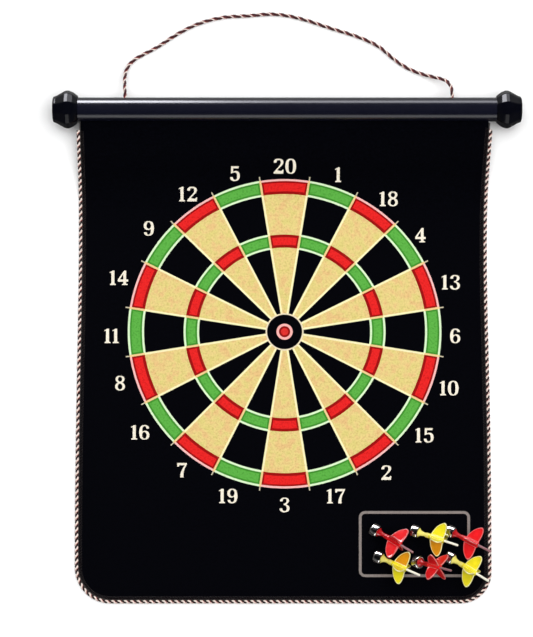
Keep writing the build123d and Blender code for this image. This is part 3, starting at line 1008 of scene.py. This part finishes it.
def pin_solid():
    profile = [(PIN_START, 0), (PIN_START, 1.38), (SLEEVE_END - 0.05, 1.38), (SLEEVE_END, 1.0),
               (PIN_END, 1.0, S), (PIN_END, 0)]
    return turned_piece(profile, 0.8, 24)


# Rings of a fin from its edge to near its middle: share of the outline, and half the thickness there
FIN_RINGS = [(1.0, 0.0), (0.988, 0.32), (0.955, 0.48), (0.90, 0.52), (0.85, 0.46), (0.82, 0.34), (0.6, 0.40),
             (0.25, 0.42)]
# Rings outside this share take the rim material, whose pale colour is a painted highlight
RIM_SHARE = 0.85


def fin_plate(quarter, inner_index):
    """A leaf fin with a raised rounded rim, as vertices, faces and material indices."""
    outline = smooth_outline(FIN_OUTLINE, 5)
    centre = np.mean(outline, axis=0)
    levels = FIN_RINGS[::-1] + [(share, -half) for share, half in FIN_RINGS[1:]]
    points = [(*place, half) for share, half in levels for place in centre + (outline - centre) * share]
    points += [(*centre, levels[0][1]), (*centre, levels[-1][1])]
    spin = Matrix.Rotation(math.radians(90 * quarter), 3, "X")
    vertices = [tuple((spin @ Vector(point)) * MM) for point in points]
    indices = []
    for (share, _), (next_share, _) in zip(levels, levels[1:]):
        indices += [1 if min(share, next_share) >= RIM_SHARE else inner_index] * len(outline)
    indices += [inner_index] * 2 * len(outline)
    return vertices, capped_faces(len(levels), len(outline)), indices


def smooth_outline(points, steps):
    """Closed outline through the points: curved between smooth ones, straight at corners."""
    count = len(points)
    flat = np.array([point[:2] for point in points], dtype=float)
    made = []
    for i in range(count):
        j = (i + 1) % count
        corner_i, corner_j = len(points[i]) == 2, len(points[j]) == 2
        if corner_i and corner_j:
            made += [flat[i] + (flat[j] - flat[i]) * s / 4 for s in range(4)]
            continue
        slope_i = (flat[j] - flat[i]) if corner_i else (flat[j] - flat[i - 1]) / 2
        slope_j = (flat[j] - flat[i]) if corner_j else (flat[(j + 1) % count] - flat[i]) / 2
        for s in range(steps):
            t = s / steps
            made.append(
                (2 * t**3 - 3 * t**2 + 1) * flat[i] + (t**3 - 2 * t**2 + t) * slope_i
                + (3 * t**2 - 2 * t**3) * flat[j] + (t**3 - t**2) * slope_j
            )
    return np.array(made)


def flight_solid(painted_shade_fin=None):
    """Four leaf fins on a sleeve; the fin with painted shade takes the third material."""
    profile = [(SLEEVE_START + 0.1, 0), (SLEEVE_START + 0.1, 2.4, S), (SLEEVE_END, 2.4, S), (SLEEVE_END, 0)]
    fins = [fin_plate(quarter, 2 if quarter == painted_shade_fin else 0) for quarter in range(4)]
    return merged([(*turned_piece(profile, 0.3, 32), 0), *fins])


# The fin painted orange on two yellow darts, as painted shade with a painted reflection of the red dart
# beside it: its quarter, by dart number
PAINTED_SHADE_FINS = {2: 1, 4: 3}


def place_darts():
    """The six darts, each of five pieces, on their own bodies."""
    solids = {"tip_cup": cup_solid(), "magnet": magnet_solid(), "barrel": barrel_solid(),
              "tail_pin": pin_solid()}
    for number, (*place, colour) in enumerate(DARTS, start=1):
        matrix = dart_matrix(*place)
        solids["flight"] = flight_solid(PAINTED_SHADE_FINS.get(number))
        looks = {
            "tip_cup": (["nickel"], "nickel"),
            "magnet": (["magnet"], "magnet_ferrite"),
            "barrel": ([f"stem_{colour}"], f"{colour}_plastic"),
            # The flight's rim material is a pale painted highlight; its third material is orange painted
            # shade
            "flight": ([f"dart_{colour}", f"rim_{colour}", "painted_shade_yellow"], f"{colour}_plastic"),
            "tail_pin": ([f"pin_{colour}"], "pin_plastic"),
        }
        for kind, solid in solids.items():
            mesh = mesh_of(f"dart{number}_{kind}_mesh", *solid)
            mesh.transform(matrix)
            mesh.polygons.foreach_set("use_smooth", [True] * len(mesh.polygons))
            mesh.set_sharp_from_angle(angle=math.radians(40))
            materials, slot = looks[kind]
            add_piece(f"dart{number}_{kind}", mesh, materials, body=f"dart_{number}",
                      replaces=[f"dart_{number}_{kind}"], smooth=False)


# ---- CAD nodes that show as they are


def dress_cad_nodes():
    """Detailed materials for the CAD pieces that stay."""
    looks = {"hanger_tube": "tube", "retaining_bead": "bead", "iron_core_sheet": "core",
             "left_knot": "yarn_dark", "right_knot": "yarn_dark"}
    for node, look in looks.items():
        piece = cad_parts[node]
        if not piece.material_slots:
            piece.data.materials.append(None)
        for holder in piece.material_slots:
            holder.material = MATERIALS[look]


# ---- camera, floor and light


def add_camera():
    data = bpy.data.cameras.new("camera")
    data.sensor_width = SENSOR
    data.lens = SENSOR * (CAMERA_DISTANCE - SHEET_T) / VIEW_HEIGHT
    data.clip_end = 20
    camera = bpy.data.objects.new("camera", data)
    camera.location = (*VIEW_CENTRE, CAMERA_DISTANCE)
    bpy.context.scene.collection.objects.link(camera)
    bpy.context.scene.camera = camera


FLOOR_WHITE = (0.95, 0.95, 0.95)
FLOOR_REACH = 6.0
FLOOR_DROP = 0.02 * MM


def add_floor():
    """Plain white table top, just under the board, which glossy surfaces don't mirror."""
    ends = (-FLOOR_REACH, FLOOR_REACH)
    corners = [(x, y, -FLOOR_DROP) for y in ends for x in ends]
    mesh = mesh_of("floor", corners, [(0, 1, 3, 2)])
    floor = bpy.data.objects.new("floor", mesh)
    bpy.context.scene.collection.objects.link(floor)
    made = Shader("floor_white", FLOOR_WHITE, 0.9, Specular_IOR_Level=0.0)
    made.mottle(made.noise(60 * MM, detail=2), FLOOR_WHITE, 0.01)
    mesh.materials.append(made.material)
    floor.visible_glossy = False


def add_lamp(name, kind, power, place, way, mirrored=False, **settings):
    """A lamp that shines this way; a mirrored one only shows in glossy surfaces, the others only light."""
    data = bpy.data.lights.new(name, kind)
    data.energy = power
    for setting, value in settings.items():
        setattr(data, setting, value)
    light = bpy.data.objects.new(name, data)
    light.location = place
    light.rotation_mode = "QUATERNION"
    light.rotation_quaternion = Vector(way).to_track_quat("-Z", "Y")
    light.visible_camera = False
    light.visible_glossy = mirrored
    light.visible_diffuse = not mirrored
    bpy.context.scene.collection.objects.link(light)


def add_area(name, place, target, size, power, mirrored=False, colour=(1, 1, 1)):
    """A soft box that faces its target."""
    way = Vector(target) - Vector(place)
    add_lamp(name, "AREA", power, place, way, mirrored, shape="RECTANGLE", size=size[0], size_y=size[1],
             color=colour)


# Colour of the room by the height of the direction, from the horizon to straight up
SKY = [(0.0, (0.7, 0.7, 0.7)), (0.3, (0.55, 0.55, 0.57)), (0.5, (0.04, 0.04, 0.045)),
       (1.0, (0.01, 0.01, 0.012))]
# The side of the room that is lit, how dark the rest is, and how far towards that side it turns light
SKY_SIDE = (0.0, 1.0, 0.0)
SKY_DARK_SHARE = 0.15
SKY_TURNS = (0.3, 0.7)
STRIP_COLOUR = (0.93, 0.93, 1.0)


def add_light():
    """Soft boxes, strips that show in the tube and darts, a wide sun, and a room that is dark overhead."""
    add_area("key", (0.6, 0.2, 1.9), (0, 0, 0), (2.4, 2.4), 26)
    add_area("fill", (-0.9, 0.7, 1.7), (0, 0, 0), (2.2, 2.2), 12)
    add_area("strip", (0.0, 1.5, 0.34), (0, 0.2, 0.02), (1.6, 0.62), 16, True, STRIP_COLOUR)
    add_area("left_strip", (-0.55, 1.48, 0.34), (-0.1, 0.2, 0.02), (0.9, 0.62), 34, True, STRIP_COLOUR)
    add_area("low_strip", (0.0, -1.5, 0.5), (0, -0.2, 0.02), (1.6, 0.9), 8, True)
    add_lamp("overhead", "SUN", 1.75, (0, 0, 0), (-0.12, -0.25, -1), angle=math.radians(70))
    world = bpy.data.worlds.new("room")
    world.use_nodes = True
    tree = world.node_tree
    background = tree.nodes["Background"]
    coordinates = add_node(tree, "ShaderNodeTexCoord").outputs["Generated"]
    split = add_node(tree, "ShaderNodeSeparateXYZ", Vector=coordinates)
    ramp = add_node(tree, "ShaderNodeValToRGB", Fac=split.outputs["Z"])
    fill_ramp(ramp, SKY)
    tree.links.new(ramp.outputs["Color"], background.inputs["Color"])
    facing = add_node(tree, "ShaderNodeVectorMath", operation="DOT_PRODUCT", Vector=coordinates)
    facing.inputs[1].default_value = SKY_SIDE
    share = add_node(tree, "ShaderNodeMapRange", From_Min=SKY_TURNS[0], From_Max=SKY_TURNS[1],
                     To_Min=SKY_DARK_SHARE, Value=facing.outputs["Value"])
    tree.links.new(share.outputs["Result"], background.inputs["Strength"])
    bpy.context.scene.world = world
    bpy.context.scene.view_settings.view_transform = "Standard"


add_camera()
hanging_cord()
add_floor()
add_light()
cloth_layer("front_cloth", SHEET_T - FRONT_T, SHEET_T, "flock", "front_fabric")
cloth_layer("back_cloth", 0.0, BACK_T, "back", "back_fabric")
print_target()
print_numbers()
print_tray()
edge_thread()
edge_stitches()
knob("left_faceted_knob", -1, "left_knob")
knob("right_faceted_knob", 1, "right_knob")
place_darts()
dress_cad_nodes()
